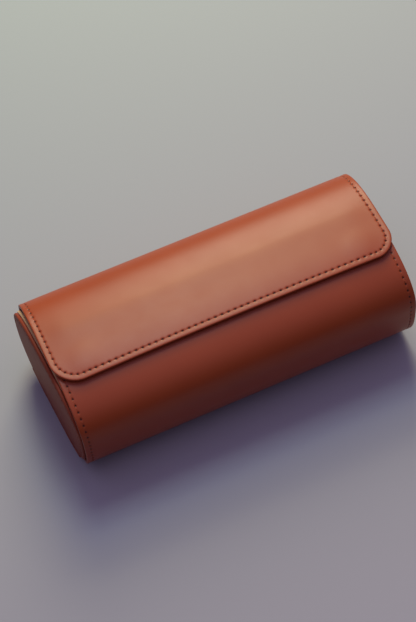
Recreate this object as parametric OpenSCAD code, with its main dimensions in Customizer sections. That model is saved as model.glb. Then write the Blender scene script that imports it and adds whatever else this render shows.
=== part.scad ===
// Watch travel roll: a soft oval case for three watches, 195 mm long.
// The length runs along X, the free edge of the flap is at the front (-Y), and Z is up.
// The origin is the middle of the flat that the roll rests on.
// A leather-covered wall goes round the section in three parts: a base, a flap that
// rises at the back and laps over the top, and a front wing that reaches past the middle
// under the flap.
// Both wings fold out on creases low down at the back and the front. On the base stand
// two end panels and two dividers, with a lift-out cushion in each compartment.

/* [Section] */
// Overall width of the roll, front to back
case_w = 92; // [88:1:98]
// Height of the widest line above the table
belly_h = 40; // [36:1:44]
// Rise from the widest line to the top of the flap
crown_h = 27.4; // [25:0.2:31]
// Squareness of the upper half: 2 is an ellipse, more is boxier
crown_power = 2.4; // [2.2:0.1:3]
// Squareness of the lower half
base_power = 3; // [2.8:0.1:3.4]
// Depth that the bottom is pressed flat by the weight it carries
sink = 0.6; // [0.4:0.1:0.8]

/* [Wall] */
// Thickness of the outer leather
leather_t = 0.8; // [0.6:0.1:1]
// Thickness of the stiffening board
board_t = 0.8; // [0.6:0.1:1.2]
// Thickness of the suede lining
lining_t = 0.4; // [0.3:0.1:0.6]
// Width of the leather turned round the free edges of a board
turn_w = 1.2; // [1:0.1:2]

/* [Flap and front wing] */
// Length of the flap along the roll
flap_len = 195; // [180:1:196]
// Distance of the flap's free edge in front of the middle
flap_edge_y = 21; // [18:0.2:24]
// Radius of the flap's two free corners
flap_corner_r = 14.2; // [10:0.2:18]
// Length of the front wing along the roll
front_len = 192.6; // [178:0.2:194]
// Distance of the front wing's top edge behind the middle
front_edge_y = 9.6; // [8:0.2:12]
// Radius of the front wing's two top corners
front_corner_r = 12; // [6:1:14]
// Room between the flap's lining and the front wing
lap_gap = 0.3; // [0.2:0.1:0.6]
// Distance of the two fold lines from the middle
hinge_y = 34; // [32:0.5:35]
// Slit left at each fold line, in degrees of the section
crease = 0.15; // [0.1:0.05:0.3]

/* [Magnets] */
// Diameter of the closing magnets
magnet_d = 14; // [10:1:15]
// Distance of the magnets from the middle, along the roll
magnet_x = 79; // [60:1:84]
// Distance of the magnets in front of the middle
magnet_y = 11; // [10:0.5:12]

/* [End panels] */
// Distance from the middle to the outer face of the left end panel
left_end_x = 99.4; // [98:0.2:100]
// Angle that the left end panel has sprung open at the back
left_yaw = 3; // [0:0.5:3]
// Distance from the middle to the outer face of the right end panel
right_end_x = 95.4; // [94:0.2:96]
// Thickness of the leather-covered half of an end panel
end_shell_t = 2; // [1.8:0.1:2.4]
// Thickness of the suede-covered half of an end panel
end_pad_t = 2.2; // [1.8:0.1:2.6]
// Room between a panel's edge and the walls round it
panel_gap = 0.4; // [0.3:0.1:0.6]
// How far the leather-covered half stops short of the suede-covered half's edge
end_step = 0.5; // [0.2:0.1:1]

/* [Dividers and cushions] */
// Thickness of a divider
divider_t = 3.4; // [3:0.2:5]
// Rise of a divider above the widest line
divider_rise = 12.5; // [8:0.5:16]
// Thickness of the suede cover of a divider
divider_cover_t = 0.6; // [0.4:0.1:1]
// Length of a watch cushion along the roll
cushion_l = 53; // [46:1:54]
// Width of a watch cushion, front to back
cushion_w = 66; // [60:1:68]
// Height of a watch cushion
cushion_h = 42; // [38:1:43]
// Bulge of a cushion's ends
cushion_crown = 3.5; // [2:0.5:5]
// Thickness of a cushion's suede cover
cushion_cover_t = 1.2; // [0.8:0.1:1.6]

/* [Hidden] */
half_w = case_w / 2;
wall_t = leather_t + board_t + lining_t;
// The front wing's own top line, which lets the flap lap over it
front_rise = crown_h - wall_t - lap_gap;
// Angular step of the section's points, in degrees
step = 3;
// About how many degrees of the section one millimetre of wall takes
deg_per_mm = 180 / (PI * half_w);
// Longer than the roll in every direction, for cutting shapes
reach = 250;
// Clear overshoot of a cutting shape
over = 1;
$fn = 96;
end_t = end_shell_t + end_pad_t;
// How far inside the roll's outer face the panels and dividers stop
pad_inset = wall_t + panel_gap;
// Squareness of a cushion's section, and the room under it
cushion_power = 2.6;
cushion_gap = 0.3;
// Free length between the two end panels, and the length of one compartment
inner_len = left_end_x + right_end_x - 2 * end_t;
bay_l = (inner_len - 2 * divider_t) / 3;
// Middles of the compartments from left to right, and of the dividers
bay_x = [for (i = [0:2]) -left_end_x + end_t + bay_l / 2 + i * (bay_l + divider_t)];
divider_x = [for (i = [0:1]) -left_end_x + end_t + bay_l + divider_t / 2 + i * (bay_l + divider_t)];

leather_colour = "#b4694e";
suede_colour = "#b08d5f";
board_colour = "#8f8574";
magnet_colour = "#9a9da1";
foam_colour = "#d9d2ba";

// Angle in the section, from the top, at which the oval is y away from the middle
function angle_at(y, power) = asin(pow(y / half_w, power / 2));

// Point of the section at an angle from the top (positive to the back), moved in from the
// outer face by an inset. The bottom is flat at the height foot.
function oval(a, rise, inset, foot) =
    let (
        up = cos(a) >= 0,
        power = up ? crown_power : base_power,
        h = up ? rise : belly_h + sink,
        s = abs(sin(a)),
        c = abs(cos(a)),
        normal = [sign(sin(a)) * pow(s, 2 - 2 / power) / half_w,
                  sign(cos(a)) * pow(c, 2 - 2 / power) / h],
        outer = [sign(sin(a)) * half_w * pow(s, 2 / power),
                 belly_h + sign(cos(a)) * h * pow(c, 2 / power)],
        inner = outer - inset * normal / norm(normal))
    [inner.x, max(inner.y, foot)];

// Outline of a length of wall between two angles and two insets
function wall_outline(from, to, rise, outer, inner) =
    let (n = ceil((to - from) / step))
    concat(
        [for (i = [0:n]) oval(from + (to - from) * i / n, rise, outer, outer)],
        [for (i = [n:-1:0]) oval(from + (to - from) * i / n, rise, inner, inner)]);

// Outline of a whole panel that stands inside the walls on the base
function panel_outline(rise, inset) =
    [for (a = [0:step:360 - step]) oval(a, rise, inset, wall_t)];

// Outline of a cushion, on its own middle
function cushion_outline(w, h) =
    [for (a = [0:2 * step:360 - 2 * step])
        [sign(sin(a)) * w / 2 * pow(abs(sin(a)), 2 / cushion_power),
         sign(cos(a)) * h / 2 * pow(abs(cos(a)), 2 / cushion_power)]];

// A board stops short of the fold line by about its margin, in degrees of the section
function fold_margin(margin) = margin * deg_per_mm;

hinge_angle = 180 - angle_at(hinge_y, base_power);
// The outlines start a little past the edges, and the plans below trim them
flap_start = -angle_at(flap_edge_y + over, crown_power);
front_start = -angle_at(front_edge_y + over, crown_power);

// Runs a section in the YZ plane along X, about its middle
module along_x(len) {
    rotate([90, 0, 90])
        linear_extrude(height = len, center = true)
            children();
}

// Everything behind the line y = edge, len long, with rounded corners on that line
module wing_plan(len, edge, r) {
    translate([0, 0, -over])
        linear_extrude(height = reach)
            union() {
                translate([-len / 2, edge + r])
                    square([len, reach]);
                translate([-len / 2 + r, edge])
                    square([len - 2 * r, r + over]);
                for (side = [-1, 1])
                    translate([side * (len / 2 - r), edge + r])
                        circle(r = r);
            }
}

// One layer of a wing, trimmed to its plan, which a margin makes smaller
module wing_layer(from, len, edge, r, rise, outer, inner, margin) {
    intersection() {
        along_x(len + over)
            polygon(wall_outline(from, hinge_angle - crease - fold_margin(margin), rise, outer, inner));
        wing_plan(len - 2 * margin, edge + margin, r - margin);
    }
}

module wing_leather(from, len, edge, r, rise) {
    difference() {
        wing_layer(from, len, edge, r, rise, 0, wall_t, 0);
        wing_layer(from, len, edge, r, rise, leather_t, wall_t + over, turn_w);
    }
}

module wing_board(from, len, edge, r, rise) {
    wing_layer(from, len, edge, r, rise, leather_t, leather_t + board_t, turn_w);
}

module wing_lining(from, len, edge, r, rise) {
    wing_layer(from, len, edge, r, rise, leather_t + board_t, wall_t, turn_w);
}

module magnet_round(side) {
    translate([side * magnet_x, -magnet_y, 0])
        cylinder(d = magnet_d, h = reach);
}

// The front wing is laid out as a back wing and turned over to the front
module to_front() {
    mirror([0, 1, 0])
        children();
}

module flap_leather() {
    color(leather_colour)
        wing_leather(flap_start, flap_len, -flap_edge_y, flap_corner_r, crown_h);
}

module flap_board_blank() {
    wing_board(flap_start, flap_len, -flap_edge_y, flap_corner_r, crown_h);
}

module flap_board() {
    color(board_colour)
        difference() {
            flap_board_blank();
            for (side = [-1, 1])
                magnet_round(side);
        }
}

module flap_lining() {
    color(suede_colour)
        wing_lining(flap_start, flap_len, -flap_edge_y, flap_corner_r, crown_h);
}

// A flexible magnet takes the curve of the board that it is let into
module flap_magnet(side) {
    color(magnet_colour)
        intersection() {
            flap_board_blank();
            magnet_round(side);
        }
}

module front_leather() {
    color(leather_colour)
        to_front()
            wing_leather(front_start, front_len, -front_edge_y, front_corner_r, front_rise);
}

module front_board_blank() {
    to_front()
        wing_board(front_start, front_len, -front_edge_y, front_corner_r, front_rise);
}

module front_board() {
    color(board_colour)
        difference() {
            front_board_blank();
            for (side = [-1, 1])
                magnet_round(side);
        }
}

module front_lining() {
    color(suede_colour)
        to_front()
            wing_lining(front_start, front_len, -front_edge_y, front_corner_r, front_rise);
}

module front_magnet(side) {
    color(magnet_colour)
        intersection() {
            front_board_blank();
            magnet_round(side);
        }
}

// Plan of the base: square at the right, and cut along the sprung end panel at the left
module base_plan(margin) {
    slant = half_w * tan(left_yaw);
    left = -left_end_x + margin;
    right = front_len / 2 - margin;
    translate([0, 0, -over])
        linear_extrude(height = reach)
            polygon([[left + slant, -half_w], [right, -half_w], [right, half_w], [left - slant, half_w]]);
}

// One layer of the base, between the two fold lines
module base_layer(outer, inner, margin) {
    from = hinge_angle + crease + fold_margin(margin);
    intersection() {
        along_x(reach)
            polygon(wall_outline(from, 360 - from, crown_h, outer, inner));
        base_plan(margin);
    }
}

module base_leather() {
    color(leather_colour)
        difference() {
            base_layer(0, wall_t, 0);
            base_layer(leather_t, wall_t + over, turn_w);
        }
}

module base_board() {
    color(board_colour)
        base_layer(leather_t, leather_t + board_t, turn_w);
}

module base_lining() {
    color(suede_colour)
        base_layer(leather_t + board_t, wall_t, turn_w);
}

// A slab of a panel, from its outer face inwards (+X) between two depths
module end_slab(inset, from, to) {
    translate([(from + to) / 2, 0, 0])
        along_x(to - from)
            polygon(panel_outline(front_rise, inset));
}

// Leather drawn round the edge of the board, a little smaller than the pad behind it
module end_leather() {
    color(leather_colour)
        difference() {
            end_slab(pad_inset + end_step, 0, end_shell_t);
            end_slab(pad_inset + end_step + leather_t, leather_t, end_shell_t + over);
        }
}

module end_board() {
    color(board_colour)
        end_slab(pad_inset + end_step + leather_t, leather_t, end_shell_t);
}

module end_pad() {
    color(suede_colour)
        end_slab(pad_inset, end_shell_t, end_t);
}

// The left panel has sprung out at the back, and the right one stands straight
module at_left_end() {
    translate([-left_end_x, 0, 0])
        rotate([0, 0, left_yaw])
            children();
}

module at_right_end() {
    mirror([1, 0, 0])
        translate([-right_end_x, 0, 0])
            children();
}

module divider_board(side) {
    color(board_colour)
        translate([divider_x[side], 0, 0])
            along_x(divider_t - 2 * divider_cover_t)
                polygon(panel_outline(divider_rise, pad_inset + divider_cover_t));
}

module divider_cover(side) {
    color(suede_colour)
        difference() {
            translate([divider_x[side], 0, 0])
                along_x(divider_t)
                    polygon(panel_outline(divider_rise, pad_inset));
            divider_board(side);
        }
}

// Two facing round faces, len apart at their middles, that crown the ends of a cushion
module crowned_ends(len, span) {
    r = (pow(span / 2, 2) + pow(cushion_crown, 2)) / (2 * cushion_crown);
    intersection_for(side = [0, 1])
        mirror([side, 0, 0])
            translate([r - len / 2, 0, 0])
                cylinder(r = r, h = reach, center = true);
}

module pillow(l, w, h) {
    intersection() {
        along_x(l + over)
            polygon(cushion_outline(w, h));
        crowned_ends(l, w);
        rotate([90, 0, 0])
            crowned_ends(l, h);
    }
}

module at_bay(bay) {
    translate([bay_x[bay], 0, wall_t + cushion_gap + cushion_h / 2])
        children();
}

module cushion_core() {
    pillow(cushion_l - 2 * cushion_cover_t, cushion_w - 2 * cushion_cover_t,
           cushion_h - 2 * cushion_cover_t);
}

module cushion_foam(bay) {
    color(foam_colour)
        at_bay(bay)
            cushion_core();
}

module cushion_cover(bay) {
    color(suede_colour)
        at_bay(bay)
            difference() {
                pillow(cushion_l, cushion_w, cushion_h);
                cushion_core();
            }
}

base_leather();
base_board();
base_lining();
flap_leather();
flap_board();
flap_lining();
flap_magnet(-1);  // flap_magnet_left
flap_magnet(1);  // flap_magnet_right
front_leather();
front_board();
front_lining();
front_magnet(-1);  // front_magnet_left
front_magnet(1);  // front_magnet_right
at_left_end() end_leather();  // left_end_leather
at_left_end() end_board();  // left_end_board
at_left_end() end_pad();  // left_end_pad
at_right_end() end_leather();  // right_end_leather
at_right_end() end_board();  // right_end_board
at_right_end() end_pad();  // right_end_pad
divider_cover(0);  // left_divider_cover
divider_board(0);  // left_divider_board
divider_cover(1);  // right_divider_cover
divider_board(1);  // right_divider_board
cushion_cover(0);  // left_cushion_cover
cushion_foam(0);  // left_cushion_foam
cushion_cover(1);  // middle_cushion_cover
cushion_foam(1);  // middle_cushion_foam
cushion_cover(2);  // right_cushion_cover
cushion_foam(2);  // right_cushion_foam
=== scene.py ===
"""Looks of a watch travel roll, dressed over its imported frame.

The leather is cut and stitched as a flat sheet, in millimetres, and is then rolled round the
oval section of the case. In the flat, x runs along the roll, b runs backwards along the
leather from the middle of the top, and h is the height over the outer face.
"""

import logging
import math
from dataclasses import dataclass
from enum import Enum
from typing import Any, Callable, Optional, Sequence

import bmesh
import bpy
import numpy as np
from mathutils import Matrix, Vector, noise


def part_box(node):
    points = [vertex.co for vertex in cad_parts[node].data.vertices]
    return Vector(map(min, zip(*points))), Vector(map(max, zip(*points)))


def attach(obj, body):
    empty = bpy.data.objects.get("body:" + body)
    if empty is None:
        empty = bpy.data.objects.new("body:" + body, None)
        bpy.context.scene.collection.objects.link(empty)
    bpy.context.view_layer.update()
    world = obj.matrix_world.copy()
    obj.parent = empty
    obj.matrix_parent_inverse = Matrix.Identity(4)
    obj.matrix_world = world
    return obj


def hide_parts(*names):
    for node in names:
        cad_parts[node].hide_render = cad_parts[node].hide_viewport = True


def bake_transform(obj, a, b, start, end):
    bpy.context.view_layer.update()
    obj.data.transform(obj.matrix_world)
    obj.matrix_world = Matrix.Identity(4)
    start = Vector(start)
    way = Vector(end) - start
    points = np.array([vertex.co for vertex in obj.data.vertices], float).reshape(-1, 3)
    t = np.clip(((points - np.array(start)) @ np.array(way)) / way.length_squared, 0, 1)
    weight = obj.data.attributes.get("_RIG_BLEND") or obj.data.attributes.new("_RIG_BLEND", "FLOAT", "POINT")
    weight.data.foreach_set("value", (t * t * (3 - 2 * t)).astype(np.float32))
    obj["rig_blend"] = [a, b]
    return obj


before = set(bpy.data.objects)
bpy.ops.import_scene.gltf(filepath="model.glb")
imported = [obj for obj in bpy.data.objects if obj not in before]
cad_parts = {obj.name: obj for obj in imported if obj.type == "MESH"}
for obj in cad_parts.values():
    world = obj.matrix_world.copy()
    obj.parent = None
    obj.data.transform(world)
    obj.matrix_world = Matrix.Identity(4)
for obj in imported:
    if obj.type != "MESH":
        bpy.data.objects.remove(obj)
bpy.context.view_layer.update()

LOG = logging.getLogger("watch_roll")
MM = 0.001

# Short names of types
BMesh = bmesh.types.BMesh
Node = bpy.types.Node
Piece = bpy.types.Object
Socket = bpy.types.NodeSocket
Tree = bpy.types.NodeTree
Span = tuple[float, float]
# The x, b and radius of a corner of a sheet
Corner = tuple[float, float, float]
# Inputs of a shader node, by name or number: a value, or the output socket that feeds it
Looks = dict[str | int, Any]

# The section of the roll, as the frame has it
HALF_W = 46.0
BELLY_H = 40.0
SINK = 0.6
CROWN_RISE = 27.4
CROWN_POWER = 2.4
BASE_POWER = 3.0
WALL_T = 2.0
LEATHER_T = 0.8
LINING_T = 0.4
LAP_GAP = 0.3
FRONT_RISE = CROWN_RISE - WALL_T - LAP_GAP
HINGE_Y = 34.0
# How far a wing's sheets run on past its fold line, on to the base
FOLD_PAST = 3.0
# Half the height over which a fold bends, and where the sheets have lines for it
FOLD_BEND = 1.5
FOLD_LINES = tuple(round(-2.4 + 0.4 * i, 2) for i in range(13))
# How far above its fold line a wing's stitching and the flap's board stop
FOLD_SHORT = 1.5
# Angle that the left end panel has sprung open, and where the end panels and the base end
LEFT_YAW = math.radians(3.0)
LEFT_END_X = -99.4
RIGHT_END_X = 95.4
BASE_RIGHT_X = 96.3
# How far from the middle plane, on the far side, the front wing ends under the flap
FRONT_REACH = 9.6
# The flap's magnets, and how far a lining is pressed into its board
MAGNET_X = 79.0
MAGNET_R = 7.0
LINING_SINK = 0.03

# Machine stitching, and the depth under which a pit is left plain, as a share of the deepest
PITCH = 3.757
STITCH_MARGIN = 3.15
PIT_FLOOR = 0.02

# The leather's slow waves: their height, their length along x and along b, and their draw
WAVE_HIGH = 0.035
WAVE_X = 52.0
WAVE_B = 34.0
WAVE_SEED = 3.7

# The least number of steps round a corner, and the angle past which an edge stays sharp
CORNER_STEPS = 8
SHARP_ANGLE = math.radians(50.0)


class Edge(Enum):
    """Which end of a sheet is its free, turned edge."""

    FRONT = "front"
    BACK = "back"


def flat_points(bm: BMesh) -> np.ndarray:
    """The x, b and h of every vertex of a flat mesh, as three rows."""
    return np.array([v.co for v in bm.verts], float).reshape(-1, 3).T


class Section:
    """The outer line of the roll across its length, measured along the leather."""

    SAMPLES = 8000

    def __init__(self, rise: float) -> None:
        """Works the line out from its formula.

        Args:
            rise: height of the crown over the widest line, in mm.
        """
        angle = np.linspace(0.0, math.pi, self.SAMPLES)
        upper = angle <= math.pi / 2
        power = np.where(upper, CROWN_POWER, BASE_POWER)
        height = np.where(upper, rise, BELLY_H + SINK)
        self.across = HALF_W * np.abs(np.sin(angle)) ** (2 / power)
        up = BELLY_H + np.sign(np.cos(angle)) * height * np.abs(np.cos(angle)) ** (2 / power)
        self.up = np.maximum(up, 0.0)
        steps = np.hypot(np.diff(self.across), np.diff(self.up))
        self.length = np.concatenate([[0.0], np.cumsum(steps)])
        along = np.linspace(0.0, self.length[-1], self.SAMPLES)
        self.across = np.interp(along, self.length, self.across)
        self.up = np.interp(along, self.length, self.up)
        self.length = along
        tangent = np.stack([np.gradient(self.across, along), np.gradient(self.up, along)])
        tangent /= np.linalg.norm(tangent, axis=0)
        self.normal = np.stack([-tangent[1], tangent[0]])
        self.half = float(along[-1])
        self.belly = float(along[int(np.argmax(self.across))])

    def arc(self, across: float, low: bool) -> float:
        """Length along the leather from the top to a point of the section.

        Args:
            across: distance of the point from the middle plane, in mm.
            low: whether the point is under the widest line.

        Returns:
            The length in mm.
        """
        side = self.length > self.belly if low else self.length <= self.belly
        order = np.argsort(self.across[side])
        return float(np.interp(across, self.across[side][order], self.length[side][order]))

    def place(self, b: np.ndarray, h: np.ndarray) -> tuple[np.ndarray, np.ndarray]:
        """Rolls flat points round the section.

        Args:
            b: lengths backwards from the middle of the top, in mm.
            h: heights over the outer face, in mm.

        Returns:
            The y and z coordinates, in mm.
        """
        turn = np.mod(-b, 2 * self.half)
        behind = turn > self.half
        along = np.where(behind, 2 * self.half - turn, turn)
        side = np.where(behind, 1.0, -1.0)
        y = side * np.interp(along, self.length, self.across)
        z = np.interp(along, self.length, self.up)
        normal_y = side * np.interp(along, self.length, self.normal[0])
        normal_z = np.interp(along, self.length, self.normal[1])
        return y + normal_y * h, z + normal_z * h

    def roll(self, bm: BMesh) -> None:
        """Rolls a whole flat mesh, in mm, round the section, and brings it to metres."""
        x, b, h = flat_points(bm)
        y, z = self.place(b, h)
        for vert, spot in zip(bm.verts, zip(x, y, z)):
            vert.co = Vector(spot) * MM


CROWN = Section(CROWN_RISE)
UNDER = Section(FRONT_RISE)


@dataclass
class Outline:
    """The free outline of a wing in the flat, and the stitched line inside it."""

    half_len: float
    edge_b: float
    edge: Edge
    radius_left: float
    radius_right: float
    middle_run: tuple[float, float]
    anchor_left: float
    anchor_right: float
    corner_left: int
    corner_right: int
    bow: float = 0.0
    spring: float = 0.0

    # How far in from the free edge the wing springs up
    SPRING_FROM = 26.0
    # Where the bow is stated, from the middle of the roll, and how far in it fades out
    BOW_AT = 80.0
    BOW_FADE = 24.0

    def drift(self, x: np.ndarray, b: np.ndarray) -> np.ndarray:
        """Moves flat points to where the free edge has drawn: it is lower towards its corners."""
        deep = self._from_edge(b)
        into = 1.0 if self.edge is Edge.FRONT else -1.0
        fade = np.clip(1 - deep / self.BOW_FADE, 0.0, 1.0)
        return b - into * self.bow * (x / self.BOW_AT) ** 2 * fade

    def lift(self, b: np.ndarray) -> np.ndarray:
        """How far the wing has sprung up off what is under it: most at its free edge."""
        return self.spring * np.clip(1 - self._from_edge(b) / self.SPRING_FROM, 0.0, 1.0) ** 2

    def _from_edge(self, b: np.ndarray) -> np.ndarray:
        """Distance of points from the free edge, into the sheet."""
        return b - self.edge_b if self.edge is Edge.FRONT else self.edge_b - b

    def border(self, x: np.ndarray, b: np.ndarray) -> tuple[np.ndarray, np.ndarray]:
        """Measures points against the outline.

        Args:
            x: places along the roll, in mm.
            b: lengths backwards from the middle of the top, in mm.

        Returns:
            The distance in from the outline, and the length along the stitched line from the
            middle of the free edge, negative on the left.
        """
        deep = self._from_edge(b)
        side = np.where(x < 0, -1.0, 1.0)
        radius = np.where(x < 0, self.radius_left, self.radius_right)
        inward = self.half_len - np.abs(x)
        run = self.half_len - radius
        stitched = radius - STITCH_MARGIN
        in_corner = (inward < radius) & (deep < radius)
        corner_d = radius - np.hypot(radius - inward, radius - deep)
        turned = np.arctan2(radius - inward, radius - deep)
        corner_t = run + stitched * turned
        on_side = inward < deep
        side_t = run + stitched * math.pi / 2 + deep - radius
        distance = np.where(in_corner, corner_d, np.minimum(inward, deep))
        along = np.where(in_corner, corner_t, np.where(on_side, side_t, np.abs(x)))
        return distance, side * along

    def point(self, t: float) -> tuple[float, float, float]:
        """Finds a point on the stitched line.

        Args:
            t: length along the line from the middle of the free edge, in mm.

        Returns:
            Its x and b, and the line's direction there as an angle in the flat.
        """
        side = -1.0 if t < 0 else 1.0
        radius = self.radius_left if t < 0 else self.radius_right
        run = self.half_len - radius
        stitched = radius - STITCH_MARGIN
        rest = abs(t) - run
        into = 1.0 if self.edge is Edge.FRONT else -1.0
        if rest <= 0:
            x, deep, angle = abs(t), STITCH_MARGIN, 0.0
        elif rest < stitched * math.pi / 2:
            angle = rest / stitched
            x = run + stitched * math.sin(angle)
            deep = radius - stitched * math.cos(angle)
        else:
            x = self.half_len - STITCH_MARGIN
            deep = radius + rest - stitched * math.pi / 2
            angle = math.pi / 2
        return side * x, self.edge_b + into * deep, side * into * angle

    def corners(self, from_b: float, to_b: float, margin: float = 0.0) -> list[Corner]:
        """Corners of a length of the sheet in the flat.

        Args:
            from_b: where the length starts, in mm.
            to_b: where it ends, in mm.
            margin: how far inside the outline it stops, in mm.

        Returns:
            The x, b and radius of each corner, round from the front left one.
        """
        front = self.edge is Edge.FRONT
        low = from_b + margin if front else from_b
        high = to_b if front else to_b - margin
        half = self.half_len - margin
        left, right = self.radius_left - margin, self.radius_right - margin
        return [
            (-half, low, left if front else 0.0),
            (half, low, right if front else 0.0),
            (half, high, 0.0 if front else right),
            (-half, high, 0.0 if front else left),
        ]

    def on_front(self, along: np.ndarray) -> np.ndarray:
        """Whether points along the stitched line are on its straight front run."""
        return np.abs(along) < self.half_len - self.radius_left

    def needle_holes(self, limit: float) -> np.ndarray:
        """Finds where the needle went through.

        Args:
            limit: how far the row goes on to either side, in mm.

        Returns:
            The holes' lengths along the stitched line, in mm.
        """
        low, high = self.middle_run
        middle = np.arange(low, high + PITCH / 2, PITCH)
        left = np.linspace(low, -self.anchor_left, self.corner_left + 1)[1:]
        right = np.linspace(high, self.anchor_right, self.corner_right + 1)[1:]
        far_left = np.arange(-self.anchor_left - PITCH, -limit, -PITCH)
        far_right = np.arange(self.anchor_right + PITCH, limit, PITCH)
        return np.sort(np.concatenate([middle, left, right, far_left, far_right]))


@dataclass
class BaseOutline:
    """The base's outline in the flat: its left edge runs along the sprung end panel."""

    from_b: float
    to_b: float

    def _left(self, b: np.ndarray) -> np.ndarray:
        """Where the left edge is, at lengths along the leather."""
        middle = (self.from_b + self.to_b) / 2
        y = (middle - b) * HINGE_Y / (self.to_b - middle + FOLD_PAST)
        return LEFT_END_X - y * math.tan(LEFT_YAW)

    def corners(self, from_b: float, to_b: float, margin: float = 0.0) -> list[Corner]:
        """Corners of a length of the base in the flat, as a wing's outline gives them."""
        low, high = (float(x) for x in self._left(np.array([from_b, to_b])))
        right = BASE_RIGHT_X - margin
        return [
            (low + margin, from_b, 0.0),
            (right, from_b, 0.0),
            (right, to_b, 0.0),
            (high + margin, to_b, 0.0),
        ]

    def border(self, x: np.ndarray, b: np.ndarray) -> tuple[np.ndarray, np.ndarray]:
        """Distance in from the nearer side edge, and length along its stitched line."""
        left = x - self._left(b)
        right = BASE_RIGHT_X - x
        return np.minimum(left, right), np.where(left < right, -1.0, 1.0) * (b - self.from_b)

    def drift(self, x: np.ndarray, b: np.ndarray) -> np.ndarray:
        """The base doesn't draw."""
        return b

    def lift(self, b: np.ndarray) -> np.ndarray:
        """The base doesn't spring."""
        return np.zeros_like(b)

    def on_front(self, along: np.ndarray) -> np.ndarray:
        """The base has side rows only."""
        return np.zeros(np.shape(along), bool)

    def point(self, t: float) -> tuple[float, float, float]:
        """Finds a point on a side's stitched line, on the left one where t is negative."""
        b = self.from_b + abs(t)
        left = float(self._left(np.array([b]))[0]) + STITCH_MARGIN
        return (left if t < 0 else BASE_RIGHT_X - STITCH_MARGIN), b, math.pi / 2

    def needle_holes(self) -> np.ndarray:
        """Lengths along both side rows at which the needle went through."""
        one = np.arange(FOLD_PAST + 1.0, self.to_b - self.from_b - FOLD_PAST, PITCH)
        return np.concatenate([-one[::-1], one])


AnyOutline = Outline | BaseOutline


def add_node(tree: Tree, kind: str, links: Looks, **settings: Any) -> Node:
    """Adds one shader node.

    Args:
        tree: the node tree that it goes in.
        kind: the node's type name.
        links: input name or number to a value, or to the output socket that feeds it.
        settings: attributes of the node itself.

    Returns:
        The new node.
    """
    node = tree.nodes.new(kind)
    for name, value in settings.items():
        setattr(node, name, value)
    for name, value in links.items():
        if isinstance(value, Socket):
            tree.links.new(value, node.inputs[name])
        else:
            node.inputs[name].default_value = value
    return node


def linear(hex_colour: str) -> tuple[float, float, float, float]:
    """Turns an sRGB hex colour, such as #b4694e, into a linear one."""
    parts = [int(hex_colour[i : i + 2], 16) / 255 for i in (1, 3, 5)]
    low = [c / 12.92 if c <= 0.04045 else ((c + 0.055) / 1.055) ** 2.4 for c in parts]
    return (low[0], low[1], low[2], 1.0)


def ramp(tree: Tree, factor: Socket, low: str | Socket, high: str) -> Socket:
    """Mixes by a factor from one colour, as hex or a socket, to another, and returns the mix."""
    start = linear(low) if isinstance(low, str) else low
    mixed = add_node(tree, "ShaderNodeMix", {0: factor, 6: start, 7: linear(high)}, data_type="RGBA")
    return mixed.outputs[2]


def spread(tree: Tree, factor: Socket, low: float, high: float, to: Span = (0.0, 1.0)) -> Socket:
    """Stretches a factor from the range low to high over the range that is given by to."""
    links = {0: factor, 1: low, 2: high, 3: to[0], 4: to[1]}
    return add_node(tree, "ShaderNodeMapRange", links).outputs[0]


def noise_of(tree: Tree, place: Socket, size_mm: float, detail: float) -> Socket:
    """A noise whose blotches are about size_mm across, as a factor."""
    links = {"Vector": place, "Scale": 1 / (size_mm * MM), "Detail": detail}
    return add_node(tree, "ShaderNodeTexNoise", links).outputs[0]


def cells_of(tree: Tree, place: Socket, size_mm: float, feature: str) -> Socket:
    """Cells about size_mm across, as the distance from their middles."""
    links = {"Vector": place, "Scale": 1 / (size_mm * MM)}
    return add_node(tree, "ShaderNodeTexVoronoi", links, feature=feature).outputs["Distance"]


def bump(tree: Tree, height: Socket, depth_mm: float) -> Socket:
    """Turns a height pattern, depth_mm deep, into the normals of a surface."""
    links = {"Height": height, "Distance": depth_mm * MM, "Strength": 1.0}
    return add_node(tree, "ShaderNodeBump", links).outputs[0]


class Finish:
    """A material of the roll, built once and shared by its pieces."""

    name = "finish"

    def __init__(self) -> None:
        """Starts with no material."""
        self._made: Optional[bpy.types.Material] = None

    def material(self) -> bpy.types.Material:
        """The Blender material, which the first call builds."""
        if self._made is None:
            self._made = bpy.data.materials.new(self.name)
            self._made.use_nodes = True
            tree = self._made.node_tree
            tree.nodes.clear()
            place = add_node(tree, "ShaderNodeTexCoord", {}).outputs["Object"]
            shader = add_node(tree, "ShaderNodeBsdfPrincipled", self.dress(tree, place))
            add_node(tree, "ShaderNodeOutputMaterial", {0: shader.outputs[0]})
        return self._made

    def dress(self, tree: Tree, place: Socket) -> Looks:
        """Adds the finish's own nodes, and returns what each input of the shader gets."""
        return {}


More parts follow.
